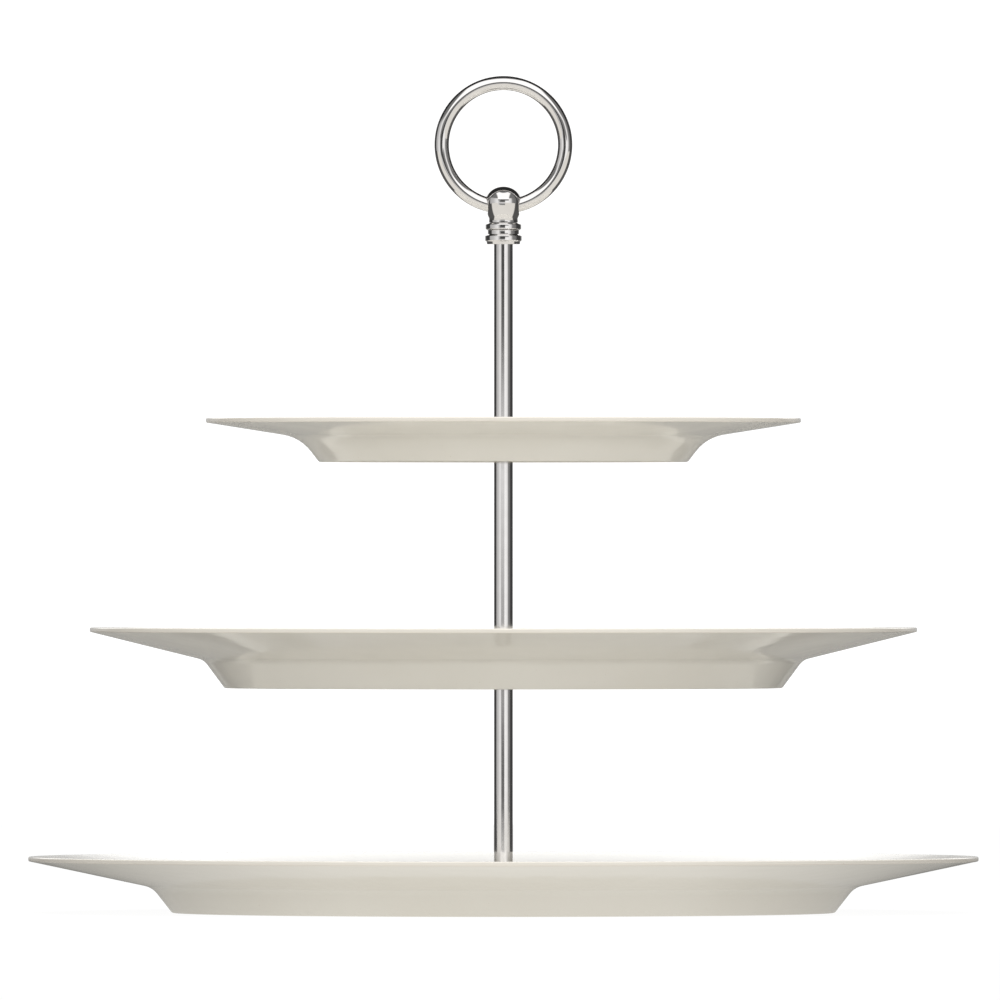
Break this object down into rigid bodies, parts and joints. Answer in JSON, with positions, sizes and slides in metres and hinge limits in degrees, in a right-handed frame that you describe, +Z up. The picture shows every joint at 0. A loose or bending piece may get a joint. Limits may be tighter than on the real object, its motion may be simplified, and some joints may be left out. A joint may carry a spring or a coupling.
{
  "type": "tiered cake stand",
  "caption": "Tiered cake stand: round glazed plates of falling size clamped on a screwed chrome spindle, with a ball finial and an upright ring handle.",
  "frame": {"origin": "centre of the plane that the lower plate's foot ring stands on", "axes": "+Z up along the spindle; the ring handle lies in the XZ plane and tilts about an axis along X"},
  "size_m": [0.305, 0.305, 0.2687],
  "materials": {
    "glaze": "glossy warm white glaze",
    "chrome": "mirror-polished plating",
    "steel": "plain zinc-plated",
    "silicone": "matt translucent white"
  },
  "bodies": {
    "base": {"lower_plate": "glaze", "base_gasket": "silicone", "base_washer": "steel", "base_screw": "steel"},
    "lower_clamp": {"lower_sleeve_gasket": "silicone", "lower_rosette": "chrome"},
    "middle_tier": {"lower_rod": "chrome", "middle_under_washer": "steel", "middle_under_gasket": "silicone", "middle_plate": "glaze"},
    "middle_clamp": {"middle_sleeve_gasket": "silicone", "middle_rosette": "chrome"},
    "top_tier": {"middle_stud": "steel", "middle_rod": "chrome", "top_under_washer": "steel", "top_under_gasket": "silicone", "top_plate": "glaze"},
    "top_clamp": {"top_sleeve_gasket": "silicone", "top_rosette": "chrome"},
    "handle_rod": {"top_stud": "steel", "upper_rod": "chrome", "finial_collar": "chrome", "finial_ball": "chrome"},
    "ring": {"ring_handle": "chrome"}
  },
  "joints": [
    {"name": "lower_rod_rise", "type": "slide", "parent": "base", "child": "lower_clamp", "axis": [0, 0, 1], "range_m": [0, 0.007]},
    {"name": "lower_rod_unscrew", "type": "hinge", "parent": "lower_clamp", "child": "middle_tier", "pos_m": [0, 0, 0.01135], "axis": [0, 0, 1], "range_deg": [0, 3600]},
    {"name": "middle_rod_rise", "type": "slide", "parent": "middle_tier", "child": "middle_clamp", "axis": [0, 0, 1], "range_m": [0, 0.007]},
    {"name": "middle_rod_unscrew", "type": "hinge", "parent": "middle_clamp", "child": "top_tier", "pos_m": [0, 0, 0.08345], "axis": [0, 0, 1], "range_deg": [0, 3600]},
    {"name": "upper_rod_rise", "type": "slide", "parent": "top_tier", "child": "top_clamp", "axis": [0, 0, 1], "range_m": [0, 0.007]},
    {"name": "upper_rod_unscrew", "type": "hinge", "parent": "top_clamp", "child": "handle_rod", "pos_m": [0, 0, 0.15505], "axis": [0, 0, 1], "range_deg": [0, 3600]},
    {"name": "ring_tilt", "type": "hinge", "parent": "handle_rod", "child": "ring", "pos_m": [0, 0, 0.22715], "axis": [1, 0, 0], "range_deg": [-170, 170]}
  ],
  "couplings": [
    {"joint": "lower_rod_rise", "follows": "lower_rod_unscrew", "m_per_rad": 0.00011141},
    {"joint": "middle_rod_rise", "follows": "middle_rod_unscrew", "m_per_rad": 0.00011141},
    {"joint": "upper_rod_rise", "follows": "upper_rod_unscrew", "m_per_rad": 0.00011141}
  ]
}
